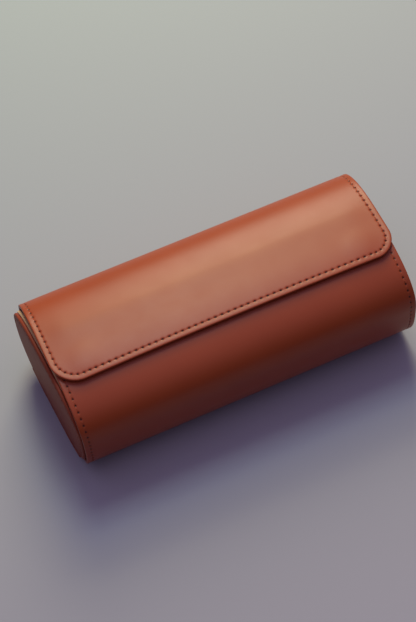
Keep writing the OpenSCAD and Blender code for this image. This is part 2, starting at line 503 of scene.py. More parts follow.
class CoatedLeather(Finish):
    """Polyurethane-coated leather, embossed with a very fine grain: satin, with soft broad sheen."""

    # Painted shade: the colour that the needle holes are darkened to, for the shadow inside them
    NEEDLE_HOLE_SHADE = "#34110d"
    # Sizes of the patches of tone, of the duller spots and of the embossed grain, in mm
    PATCH = 34.0
    DULL_SPOT = 9.0
    GRAIN = 0.55
    GRAIN_DEPTH = 0.012
    # How much smoother and rougher than the rest the spots are
    SPOT_ROUGH = (-0.015, 0.02)

    def __init__(self, name: str, base: str, worn: str, rough: float, shine: float) -> None:
        """Sets the colours.

        Args:
            name: the material's name.
            base: the coat's colour, as hex.
            worn: the colour of its lighter patches, as hex.
            rough: how rough the satin is.
            shine: how strongly the coat mirrors, where 0.5 is ordinary plastic.
        """
        super().__init__()
        self.name, self.base, self.worn, self.rough, self.shine = name, base, worn, rough, shine

    def dress(self, tree: Tree, place: Socket) -> Looks:
        """Soft patches of tone, painted shade in the needle holes, and a fine grain."""
        patches = spread(tree, noise_of(tree, place, self.PATCH, 3.0), 0.3, 0.7)
        tone = ramp(tree, patches, self.base, self.worn)
        # How deep each point is in a needle hole: the mask of the painted shade there
        depth = add_node(tree, "ShaderNodeAttribute", {}, attribute_name="pit").outputs["Fac"]
        spots = noise_of(tree, place, self.DULL_SPOT, 4.0)
        smoother, rougher = self.SPOT_ROUGH
        return {
            "Base Color": ramp(tree, spread(tree, depth, 0.08, 0.65), tone, self.NEEDLE_HOLE_SHADE),
            "Roughness": spread(tree, spots, 0.3, 0.7, (self.rough + smoother, self.rough + rougher)),
            "Specular IOR Level": self.shine,
            "Normal": bump(tree, cells_of(tree, place, self.GRAIN, "SMOOTH_F1"), self.GRAIN_DEPTH),
        }


class Suede(Finish):
    """Microfibre suede, napped: dull, with a velvety edge and finger marks in the nap."""

    # Sizes of the finger marks and of the tufts of fibres, in mm, and how high these stand
    MARK = 11.0
    TUFT = 0.7
    NAP = 0.12

    def __init__(self, name: str, base: str, brushed: str) -> None:
        """Sets the colour of the nap and of where it is brushed the other way."""
        super().__init__()
        self.name, self.base, self.brushed = name, base, brushed

    def dress(self, tree: Tree, place: Socket) -> Looks:
        """Brushed patches, and fibres that stand up."""
        marks = noise_of(tree, place, self.MARK, 3.0)
        fibres = noise_of(tree, place, self.TUFT, 4.0)
        both = add_node(tree, "ShaderNodeMath", {0: marks, 1: fibres}, operation="MULTIPLY").outputs[0]
        return {
            "Base Color": ramp(tree, spread(tree, both, 0.12, 0.4), self.base, self.brushed),
            "Roughness": 0.95,
            "Sheen Weight": 0.35,
            "Sheen Roughness": 0.5,
            "Specular IOR Level": 0.2,
            "Normal": bump(tree, fibres, self.NAP),
        }


class Greyboard(Finish):
    """Bookbinding board of recycled pulp: matt grey, with darker and lighter specks."""

    name = "greyboard"
    SPECK = 0.8

    def dress(self, tree: Tree, place: Socket) -> Looks:
        """Specks of pulp, somewhat under a millimetre long."""
        specks = noise_of(tree, place, self.SPECK, 5.0)
        return {
            "Base Color": ramp(tree, spread(tree, specks, 0.35, 0.65), "#6f675a", "#a39a88"),
            "Roughness": 0.9,
            "Normal": bump(tree, specks, 0.04),
        }


class MagnetSheet(Finish):
    """Flexible magnet, ferrite powder rolled in rubber: dark grey and dull."""

    name = "flexible_magnet"
    MOTTLE = 1.2

    def dress(self, tree: Tree, place: Socket) -> Looks:
        """Faint powdery mottling."""
        powder = noise_of(tree, place, self.MOTTLE, 4.0)
        return {
            "Base Color": ramp(tree, powder, "#34353a", "#4b4d52"),
            "Roughness": 0.6,
            "Normal": bump(tree, powder, 0.02),
        }


class CutFoam(Finish):
    """Cut polyurethane foam: open cells about a millimetre across, slightly yellowed."""

    name = "cut_foam"
    CELL = 1.1

    def dress(self, tree: Tree, place: Socket) -> Looks:
        """Open cells."""
        cells = cells_of(tree, place, self.CELL, "F1")
        return {
            "Base Color": ramp(tree, cells, "#b9ad8c", "#e0d8bf"),
            "Roughness": 0.95,
            "Normal": bump(tree, cells, 0.3),
        }


class SewingThread(Finish):
    """Bonded polyester thread, three-ply: a soft shine, and a twist that shows as fine bands."""

    # Width of the bands in mm, drawn coarser than the real 0.2 so that they show
    BAND = 2.4

    def __init__(self, name: str, dark: str, light: str) -> None:
        """Sets the thread's darker and lighter colour."""
        super().__init__()
        self.name, self.dark, self.light = name, dark, light

    def dress(self, tree: Tree, place: Socket) -> Looks:
        """Bands of the plies."""
        links = {"Vector": place, "Scale": 1 / (self.BAND * MM), "Distortion": 1.5}
        waves = add_node(tree, "ShaderNodeTexWave", links, bands_direction="DIAGONAL")
        plies = waves.outputs["Fac"]
        return {
            "Base Color": ramp(tree, plies, self.dark, self.light),
            "Roughness": 0.75,
            "Specular IOR Level": 0.2,
            "Normal": bump(tree, plies, 0.05),
        }


class TableTop(Finish):
    """Smooth matt paper sweep with a painted tint: grey-green far off, for the lamps' light, and purple-grey
    near, for the room's purple shade.
    """

    name = "paper_sweep"
    # Where the painted change of tint starts and ends, in metres behind the middle of the roll
    NEAR = -0.26
    FAR = 0.42

    def dress(self, tree: Tree, place: Socket) -> Looks:
        """A slow painted change of tint from the front to the back, standing in for the light's colour."""
        behind = add_node(tree, "ShaderNodeSeparateXYZ", {0: place}).outputs[1]
        return {
            "Base Color": ramp(tree, spread(tree, behind, self.NEAR, self.FAR), "#a49fa9", "#9aa4a2"),
            "Roughness": 0.85,
            "Specular IOR Level": 0.2,
        }


LEATHER = CoatedLeather("coated_leather", "#943e1e", "#984120", 0.385, 0.31)
# A darker copy of the coated leather for the end panels: painted shade, for ends that face away from the
# lamps
SHADED_END_LEATHER = CoatedLeather("coated_leather_end_panels_painted_shade", "#82331c", "#893921", 0.52, 0.2)
SUEDE = Suede("microfibre_suede", "#ad885d", "#bd986b")
# A lighter copy of the suede for the end pads: painted light, for pad edges that lie in the shadow of the
# flap's rim
LIT_PAD_SUEDE = Suede("microfibre_suede_end_pads_painted_light", "#cda36e", "#dab27c")
CUSHION_SUEDE = Suede("microfibre_suede_cushions", "#b08c62", "#c09c70")
BOARD = Greyboard()
MAGNET = MagnetSheet()
FOAM = CutFoam()
THREAD = SewingThread("sewing_thread_tan", "#913f29", "#9f4b31")


def mesh_of(name: str, bm: BMesh) -> bpy.types.Mesh:
    """Turns a bmesh into a mesh, and frees it."""
    mesh = bpy.data.meshes.new(name)
    bm.to_mesh(mesh)
    bm.free()
    return mesh


def in_scene(name: str, data: bpy.types.ID) -> Piece:
    """Puts an object of some data into the scene, at the origin."""
    made = bpy.data.objects.new(name, data)
    bpy.context.scene.collection.objects.link(made)
    return made


def smooth_object(name: str, bm: BMesh, finish: Finish) -> Piece:
    """Turns a finished mesh, in metres, into a shaded object at the origin.

    Args:
        name: the piece's name.
        bm: the mesh, which is freed.
        finish: the finish that it gets.

    Returns:
        The object.
    """
    mesh = mesh_of(name, bm)
    for polygon in mesh.polygons:
        polygon.use_smooth = True
    mesh.set_sharp_from_angle(angle=SHARP_ANGLE)
    mesh.materials.append(finish.material())
    piece = in_scene(name, mesh)
    return piece


Relief = Callable[[np.ndarray, np.ndarray], np.ndarray]


def no_relief(x: np.ndarray, b: np.ndarray) -> np.ndarray:
    """A sheet that lies true to the section."""
    return np.zeros_like(x)


def soft_waves(x: np.ndarray, b: np.ndarray) -> np.ndarray:
    """The slow hand-made unevenness of leather glued to board, some hundredths of a millimetre."""
    spots = (Vector((u / WAVE_X, v / WAVE_B, WAVE_SEED)) for u, v in zip(x, b))
    return np.array([WAVE_HIGH * noise.noise(spot) for spot in spots])


@dataclass(frozen=True)
class FlapRelief:
    """What shows through the flap: the front wing's top edge under it, and its two magnets."""

    # The ridge over the edge: where it is, how high, and how far it runs out to either side
    ridge_b: float = 9.8
    ridge_high: float = 0.42
    ridge_soft: float = 1.0
    run_ahead: float = 12.0
    run_behind: float = 9.0
    # A fine lip on the ridge, and how far it is behind it
    lip_high: float = 0.03
    lip_behind: float = 1.2
    # Where the ridge ends towards the ends of the flap, and how softly
    end_x: float = 88.0
    end_soft: float = 2.0
    # The rises over the magnets
    rise_b: float = -10.5
    rise_high: float = 0.22
    rise_soft: float = 1.2

    def __call__(self, x: np.ndarray, b: np.ndarray) -> np.ndarray:
        """Heights of the relief at flat points."""
        ahead = self.ridge_b - b
        soft = np.sqrt(ahead**2 + self.ridge_soft**2) - self.ridge_soft
        run = np.where(ahead > 0, self.run_ahead, self.run_behind)
        across = 1 / (1 + np.exp((np.abs(x) - self.end_x) / self.end_soft))
        lip = self.lip_high * np.exp(-((ahead + self.lip_behind) ** 2))
        ridge = (self.ridge_high * np.exp(-soft / run) + lip) * across
        rises = np.zeros_like(x)
        for side in (-1, 1):
            away = np.hypot(x - side * MAGNET_X, b - self.rise_b)
            rises += self.rise_high / (1 + np.exp((away - MAGNET_R) / self.rise_soft))
        return soft_waves(x, b) + ridge + rises


def cut_blank(corners: Sequence[Corner], height: float, station: float) -> BMesh:
    """Cuts one flat face.

    Args:
        corners: x, b and radius of each corner, in mm.
        height: height over the outer face, in mm.
        station: distance between points on the rounded corners, in mm.

    Returns:
        The new mesh.
    """
    bm = bmesh.new()
    verts = [bm.verts.new((x, b, height)) for x, b, _ in corners]
    bm.faces.new(verts)
    for vert, (_, _, radius) in zip(verts, corners):
        if radius:
            segments = max(CORNER_STEPS, round(radius * math.pi / 2 / station))
            bmesh.ops.bevel(
                bm, geom=[vert], offset=radius, offset_type="OFFSET", affect="VERTICES",
                segments=segments, profile=0.5, material=-1,
            )
    return bm


def doubled(bm: BMesh, rise: float) -> bmesh.types.BMFace:
    """Gives a flat face thickness by a copy of it, with side walls between the two.

    Args:
        bm: the mesh of the one face.
        rise: how far over the face the copy lies, in mm.

    Returns:
        The copy.
    """
    made = bmesh.ops.extrude_face_region(bm, geom=bm.faces[:], use_keep_orig=True)
    copy = [g for g in made["geom"] if isinstance(g, bmesh.types.BMFace)][0]
    bmesh.ops.translate(bm, verts=list(copy.verts), vec=(0, 0, rise))
    bmesh.ops.recalc_face_normals(bm, faces=bm.faces[:])
    return copy


def everything(bm: BMesh) -> list[Any]:
    """Every face, edge and vertex of a mesh."""
    return bm.faces[:] + bm.edges[:] + bm.verts[:]


def put_flat(bm: BMesh, b: np.ndarray, h: np.ndarray) -> None:
    """Moves the vertices of a flat mesh to new lengths and heights."""
    for vert, new_b, new_h in zip(bm.verts, b, h):
        vert.co.y = new_b
        vert.co.z = new_h


def settle(bm: BMesh, outline: AnyOutline) -> None:
    """Moves a flat mesh to where its wing has drawn and sprung."""
    x, b, h = flat_points(bm)
    put_flat(bm, outline.drift(x, b), h + outline.lift(b))


def line_across(bm: BMesh, geom: list[Any], axis: int, at: float) -> list[Any]:
    """Runs a line through part of a flat mesh, at a place on one axis, and returns that part."""
    normal = Vector((0, 0, 0))
    normal[axis] = 1
    made = bmesh.ops.bisect_plane(bm, geom=geom, dist=1e-5, plane_co=normal * at, plane_no=normal)
    return made["geom"]


def lines_across(bm: BMesh, lines: Sequence[float]) -> None:
    """Runs lines through a whole flat mesh, at lengths along the leather."""
    for at in lines:
        line_across(bm, everything(bm), 1, at)


def steps_between(low: float, high: float, gap: float) -> list[float]:
    """Even steps about a gap long from one place to another, without either end."""
    count = max(1, round((high - low) / gap))
    return [low + (high - low) * i / count for i in range(1, count)]


def store_pits(piece: Piece, depth: np.ndarray) -> None:
    """Keeps how deep each vertex is in a needle hole, for the finish to paint shade into."""
    attribute = piece.data.attributes.new("pit", "FLOAT", "POINT")
    attribute.data.foreach_set("value", depth.astype(np.float32))


@dataclass
class LeatherSheet:
    """A length of the outer leather, turned round its boards and stitched near its edges."""

    name: str
    section: Section
    outline: AnyOutline
    from_b: float
    to_b: float
    fold_b: tuple[float, ...]
    holes: np.ndarray
    free_edge: bool = True
    relief: Relief = soft_waves
    # Distances between points on the outline and between lines on the faces
    station: float = 0.5
    grid_b: float = 2.0
    grid_x: float = 3.0
    # Length that is left on at the cut ends until they are trimmed, and its corners' radius
    spare: float = 12.0
    spare_radius: float = 9.0
    # Width of the turned edge inside, how round the edge is, and the lines beside it
    turn_w: float = 1.2
    edge_round: float = 0.6
    rings: tuple[float, ...] = (
        1.0, 1.4, 2.0, 2.4, 2.65, 2.83, 2.98, 3.15, 3.32, 3.47, 3.65, 3.9, 4.4, 5.0, 6.2,
    )
    turn_rings: Span = (0.15, 0.25)
    pocket_in: float = 0.2
    # Points nearer to each other than this are made one
    merge: float = 0.02
    # The groove that the thread draws, and the needle holes in it
    line_half: float = 0.5
    groove_depth: float = 0.06
    pit_depth: float = 0.5
    front_pit_half: float = 0.65
    side_pit_half: float = 0.5
    # How the leather is drawn down inside the stitched line and at its rim
    drawn_depth: float = 0.10
    drawn_run: float = 5.0
    drawn_from: float = -1.5
    rim_run: float = 0.7
    # Where the relief starts inside the rim, and over how much it comes in
    fade_from: float = 0.2
    fade_run: float = 1.0

    def _cuts(self) -> list[tuple[float, float]]:
        """Where the sheet is cut off from the next length, and the way out of it there."""
        low, high = (self.from_b, -1.0), (self.to_b, 1.0)
        if not self.free_edge:
            return [low, high]
        return [high] if self.outline.edge is Edge.FRONT else [low]

    def _blank(self) -> BMesh:
        """Cuts the flat blank, rounded at each corner, with spare length at its cut ends."""
        ends = [self.from_b, self.to_b]
        for at, out in self._cuts():
            ends[ends.index(at)] = at + out * self.spare
        corners = [(x, b, radius or self.spare_radius) for x, b, radius in self.outline.corners(*ends)]
        bm = cut_blank(corners, 0.0, self.station)
        for edge in list(bm.edges):
            cuts = round(edge.calc_length() / self.station) - 1
            if cuts > 2:
                bmesh.ops.subdivide_edges(bm, edges=[edge], cuts=cuts)
        return bm

    def _trim(self, bm: BMesh) -> None:
        """Cuts the spare length off and closes the cut."""
        for at, out in self._cuts():
            bmesh.ops.bisect_plane(
                bm, geom=everything(bm), dist=1e-4,
                plane_co=(0, at, 0), plane_no=(0, out, 0), clear_outer=True,
            )
            made = bmesh.ops.holes_fill(bm, edges=[e for e in bm.edges if e.is_boundary], sides=0)
            bmesh.ops.triangulate(bm, faces=made["faces"])

    def _thicken(self, bm: BMesh) -> tuple[bmesh.types.BMFace, bmesh.types.BMFace]:
        """Gives the blank the wall's thickness and rounds its edges."""
        top = bm.faces[:][0]
        low = doubled(bm, -WALL_T)
        bmesh.ops.bevel(
            bm, geom=[*top.edges, *low.edges], offset=self.edge_round, offset_type="OFFSET",
            affect="EDGES", segments=4, profile=0.5, material=-1,
        )
        wide = sorted(bm.faces, key=lambda f: f.calc_area())[-2:]
        wide.sort(key=lambda f: f.calc_center_median().z)
        return wide[1], wide[0]

    def _ring(self, bm: BMesh, face: bmesh.types.BMFace, steps: Sequence[float]) -> None:
        """Runs lines inside a face, parallel to its border, and a grid across the rest."""
        done = self.edge_round
        for step in steps:
            bmesh.ops.inset_region(bm, faces=[face], thickness=step - done, use_even_offset=True)
            done = step
        inner = [face, *face.edges, *face.verts]
        spots = np.array([v.co for v in face.verts])
        low, high = spots.min(axis=0), spots.max(axis=0)
        lines = [(1, fold + step) for fold in self.fold_b for step in FOLD_LINES]
        for axis, gap in ((1, self.grid_b), (0, self.grid_x)):
            lines += [(axis, at) for at in steps_between(low[axis], high[axis], gap)]
        for axis, at in lines:
            inner = line_across(bm, inner, axis, float(at))

    def _shape(self, bm: BMesh) -> np.ndarray:
        """Presses in the stitched line, the pits, and the pocket that the board and lining fill.

        Returns:
            How deep each vertex is in a needle hole, from 0 to 1.
        """
        x, b, h = flat_points(bm)
        inward, along = self.outline.border(x, b)
        outer = np.clip(1 + h / self.edge_round, 0.0, 1.0)
        fade = outer * np.clip((inward - self.fade_from) / self.fade_run, 0.0, 1.0)
        off_line = inward - STITCH_MARGIN
        groove = -self.groove_depth * np.exp(-((off_line / self.line_half) ** 2))
        inside = off_line > self.drawn_from
        drawn = -self.drawn_depth * np.exp(-np.maximum(off_line, 0.0) / self.drawn_run) * inside
        rim = -self.drawn_depth * np.exp(-inward / self.rim_run)
        nearest = np.min(np.abs(along[:, None] - self.holes[None, :]), axis=1)
        pit_half = np.where(self.outline.on_front(along), self.front_pit_half, self.side_pit_half)
        pit = np.exp(-((nearest / pit_half) ** 2) - (off_line / self.line_half) ** 2)
        lift = (groove + drawn + rim + self.relief(x, b)) * fade - self.pit_depth * pit * fade
        inner = h < -WALL_T + self.merge / 2
        pocket = inner & (inward > self.turn_w + self.pocket_in)
        new_h = np.where(pocket, -LEATHER_T, h + np.where(inner, 0.0, lift))
        put_flat(bm, self.outline.drift(x, b), new_h + self.outline.lift(b))
        return np.where(pit * fade > PIT_FLOOR, pit * fade, 0.0)

    def build(self) -> Piece:
        """Makes the sheet and rolls it round the section."""
        bm = self._blank()
        top, low = self._thicken(bm)
        self._ring(bm, top, self.rings)
        self._ring(bm, low, [self.turn_w + step for step in self.turn_rings])
        self._trim(bm)
        bmesh.ops.remove_doubles(bm, verts=bm.verts[:], dist=self.merge)
        depth = self._shape(bm)
        self.section.roll(bm)
        piece = smooth_object(self.name, bm, LEATHER)
        store_pits(piece, depth)
        return piece


@dataclass
class StitchRow:
    """Thread along an outline: a span lies between each two needle holes."""

    name: str
    section: Section
    outline: AnyOutline
    body: str
    holes: np.ndarray
    height: float = -0.26
    thick: float = 0.5
    # How much shorter than the pitch a span is, on the front run and at the sides
    front_bite: float = 1.5
    side_bite: float = 1.1

    # How flat the thread is pulled
    FLAT = 0.9
    # Height and thickness of the finer row on the lining
    INNER_HEIGHT = -WALL_T + 0.06
    INNER_THICK = 0.42

    def build(self) -> Piece:
        """Lays every span in the flat, rolls them round the section, and hangs them on the body."""
        bm = bmesh.new()
        for start, end in zip(self.holes[:-1], self.holes[1:]):
            if end - start > 2 * PITCH:
                continue
            middle = (start + end) / 2
            x, b, angle = self.outline.point(middle)
            bite = self.front_bite if self.outline.on_front(np.array(middle)) else self.side_bite
            size = (end - start - bite, self.thick, self.thick * self.FLAT, 1.0)
            place = (
                Matrix.Translation((x, b, self.height))
                @ Matrix.Rotation(angle, 4, "Z")
                @ Matrix.Diagonal(size)
            )
            bmesh.ops.create_uvsphere(bm, u_segments=8, v_segments=6, radius=0.5, matrix=place)
        settle(bm, self.outline)
        self.section.roll(bm)
        piece = smooth_object(self.name, bm, THREAD)
        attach(piece, self.body)
        return piece


def both_rows(name: str, section: Section, outline: AnyOutline, body: str, holes: np.ndarray) -> None:
    """Sews a seam: its row on the outer face, and a finer one on the lining."""
    StitchRow(f"{name}_thread", section, outline, body, holes).build()
    StitchRow(
        f"{name}_inner_thread", section, outline, body, holes,
        height=StitchRow.INNER_HEIGHT, thick=StitchRow.INNER_THICK,
    ).build()


@dataclass
class InnerLayer:
    """A layer inside the turned edge of the leather: the board, or the suede lining on it."""

    name: str
    section: Section
    outline: AnyOutline
    from_b: float
    to_b: float
    top: float
    thick: float
    finish: Finish
    slot: str
    fold_b: tuple[float, ...] = ()
    margin: float = 1.5
    grid: float = 2.5
    station: float = 1.2

    def build(self) -> Piece:
        """Cuts the layer and rolls it round the inside of the section."""
        corners = self.outline.corners(self.from_b, self.to_b, self.margin)
        bm = cut_blank(corners, self.top - self.thick, self.station)
        doubled(bm, self.thick)
        across = [v.co.y for v in bm.verts]
        lines_across(bm, steps_between(min(across), max(across), self.grid))
        lines_across(bm, [fold + step for fold in self.fold_b for step in FOLD_LINES])
        settle(bm, self.outline)
        self.section.roll(bm)
        return smooth_object(self.name, bm, self.finish)


def lining(
    name: str, section: Section, outline: AnyOutline, span: Span, fold_b: tuple[float, ...]
) -> Piece:
    """Makes a suede lining.

    Args:
        name: the piece's name.
        section: the line that it follows.
        outline: its wing's outline.
        span: where it starts and ends along the leather, in mm.
        fold_b: the fold lines that it crosses.

    Returns:
        The piece.
    """
    top = -WALL_T + LINING_T - LINING_SINK
    layer = InnerLayer(name, section, outline, *span, top, LINING_T, SUEDE, "suede", fold_b)
    corners = outline.corners(*span, layer.margin)
    piece = layer.build()
    return piece


class OvalLine:
    """The line of the roll's section, inset from its outer face, by angle from the top."""

    CORE = 6.0

    def __init__(self, rise: float, inset: float, foot: float) -> None:
        """Names the oval.

        Args:
            rise: height of the oval's top over the widest line, in mm.
            inset: how far inside the section's outer face it lies, in mm.
            foot: height of the flat at the bottom, in mm.
        """
        self.rise, self.inset, self.foot = rise, inset, foot
        self.middle = (BELLY_H + rise + foot) / 2
        self.half_high = (BELLY_H + rise - foot) / 2

    def point(self, angle: float, deeper: float) -> Span:
        """Finds a point inside the oval.

        Args:
            angle: angle from the top, in radians.
            deeper: how far inside the oval, in mm. Past CORE the line shrinks to its middle.

        Returns:
            The point's y and z, in mm.
        """
        s, c = math.sin(angle), math.cos(angle)
        power = CROWN_POWER if c >= 0 else BASE_POWER
        high = self.rise if c >= 0 else BELLY_H + SINK
        reach = Vector((
            math.copysign(HALF_W * abs(s) ** (2 / power), s),
            BELLY_H + math.copysign(high * abs(c) ** (2 / power), c),
        ))
        normal = Vector((
            math.copysign(abs(s) ** (2 - 2 / power) / HALF_W, s),
            math.copysign(abs(c) ** (2 - 2 / power) / high, c),
        )).normalized()
        edge = reach - normal * (self.inset + min(deeper, self.CORE))
        edge.y = max(edge.y, self.foot + min(deeper, self.CORE))
        share = max(0.0, deeper - self.CORE) / (self.half_high - self.CORE)
        spot = edge.lerp(Vector((0.0, self.middle)), min(1.0, share))
        return spot.x, spot.y

    def run(self, deeper: float, count: int) -> tuple[np.ndarray, np.ndarray]:
        """Angles round the line, and the length along it to each of them."""
        angles = np.linspace(-math.pi, math.pi, count)
        spots = np.array([self.point(float(a), deeper) for a in angles])
        steps = np.hypot(*np.diff(spots, axis=0).T)
        return angles, np.concatenate([[0.0], np.cumsum(steps)])


@dataclass
class OvalPanel:
    """A flat panel across the roll, such as half an end panel or a divider."""

    name: str
    finish: Finish
    slot: str
    place: Matrix
    rise: float
    inset: float
    thick: float
    edge_round: float
    crown: float = 0.0
    row: float = 0.0
    segments: int = 300
    foot: float = WALL_T
    # The groove under the stitched row, and half the length and width of its needle holes
    groove_depth: float = 0.18
    groove_half: float = 0.6
    pit_depth: float = 0.35
    pit_half: float = 0.6
    pit_half_w: float = 0.45

    ROUND_STEPS = 5
    RUN_STEPS = 720
    # Lines on the faces: shares of the way in, steps about a row, and places near a plain rim
    FACE_LINES = (0.86, 0.72, 0.58, 0.44, 0.32, 0.22)
    ROW_LINES = (1.6, 1.0, 0.6, 0.4, 0.2, 0.0, -0.2, -0.4, -0.6, -1.0)
    RIM_LINES = (4.0, 2.6, 1.8)
    # The least distance of a line from the rounded rim
    RIM_GAP = 0.1

    def _profile(self) -> list[Span]:
        """Stations from the rim of the outer face to the rim of the inner one.

        Returns:
            Pairs of depth through the panel and distance inside its outline, in mm.
        """
        r, t = self.edge_round, self.thick
        turns = [math.pi / 2 * i / self.ROUND_STEPS for i in range(self.ROUND_STEPS + 1)]
        outer = [(r - r * math.cos(a), r - r * math.sin(a)) for a in turns]
        inner = [(t - x, d) for x, d in reversed(outer)]
        return outer + inner

    def _depths(self) -> list[float]:
        """Distances inside the rim at which the faces have lines, from the middle outwards."""
        half = (BELLY_H + self.rise - 2 * self.inset) / 2
        lines = [half * share for share in self.FACE_LINES]
        if self.row:
            lines += [self.row + step for step in self.ROW_LINES]
        else:
            lines += self.RIM_LINES
        return [d for d in sorted(lines, reverse=True) if d > self.edge_round + self.RIM_GAP]

    def build(self) -> Piece:
        """Makes the panel by drawing its outline out from the middle and round its rim."""
        line = OvalLine(self.rise, self.inset, self.foot)
        depths = self._depths()
        stations = [(0.0, d) for d in depths] + self._profile()
        stations += [(self.thick, d) for d in reversed(depths)]
        bm = bmesh.new()
        turn = bm.verts.layers.float.new("turn")
        made = bmesh.ops.create_circle(bm, cap_ends=True, cap_tris=True, segments=self.segments, radius=1.0)
        for vert in made["verts"]:
            vert[turn] = math.atan2(vert.co.x, vert.co.y)
        ring = [v for v in made["verts"] if v.co.length > 0.5]
        middle = Vector((0.0, 0.0, line.middle))
        for vert in made["verts"]:
            vert.co = middle
        for number, (x, deeper) in enumerate(stations):
            if number:
                grown = bmesh.ops.extrude_edge_only(bm, edges=[e for e in bm.edges if e.is_boundary])
                ring = [g for g in grown["geom"] if isinstance(g, bmesh.types.BMVert)]
            for vert in ring:
                y, z = line.point(vert[turn], deeper)
                vert.co = Vector((x, y, z))
        bmesh.ops.holes_fill(bm, edges=[e for e in bm.edges if e.is_boundary], sides=0)
        last = max(bm.faces, key=lambda f: len(f.verts))
        hub = bmesh.ops.poke(bm, faces=[last])["verts"][0]
        hub.co = middle + Vector((self.thick, 0, 0))
        bmesh.ops.recalc_face_normals(bm, faces=bm.faces[:])
        pits = self._press(bm, line)
        bm.transform(self.place @ Matrix.Scale(MM, 4))
        piece = smooth_object(self.name, bm, self.finish)
        store_pits(piece, pits)
        return piece

    def _press(self, bm: BMesh, line: OvalLine) -> np.ndarray:
        """Fills the faces out and presses the stitched row into the outer one.

        Returns:
            How deep each vertex is in a needle hole, from 0 to 1.
        """
        turn = bm.verts.layers.float["turn"]
        angles, run = line.run(self.row, self.RUN_STEPS)
        holes = round(run[-1] / PITCH)
        pits = np.zeros(len(bm.verts), np.float32)
        for number, vert in enumerate(bm.verts):
            outer = abs(vert.co.x) < 1e-4
            if not outer and abs(vert.co.x - self.thick) > 1e-4:
                continue
            out = math.hypot(vert.co.y / HALF_W, (vert.co.z - line.middle) / line.half_high)
            full = self.crown * max(0.0, 1 - out**4)
            if outer and self.row:
                y, z = line.point(vert[turn], self.row)
                away = math.hypot(vert.co.y - y, vert.co.z - z)
                along = float(np.interp(vert[turn], angles, run)) / run[-1] * holes
                nearest = abs(along - round(along)) * PITCH
                full -= self.groove_depth * math.exp(-((away / self.groove_half) ** 2))
                pit = math.exp(-((nearest / self.pit_half) ** 2) - (away / self.pit_half_w) ** 2)
                full -= self.pit_depth * pit
                pits[number] = pit if pit > PIT_FLOOR else 0.0
            vert.co.x += -full if outer else full
        return pits


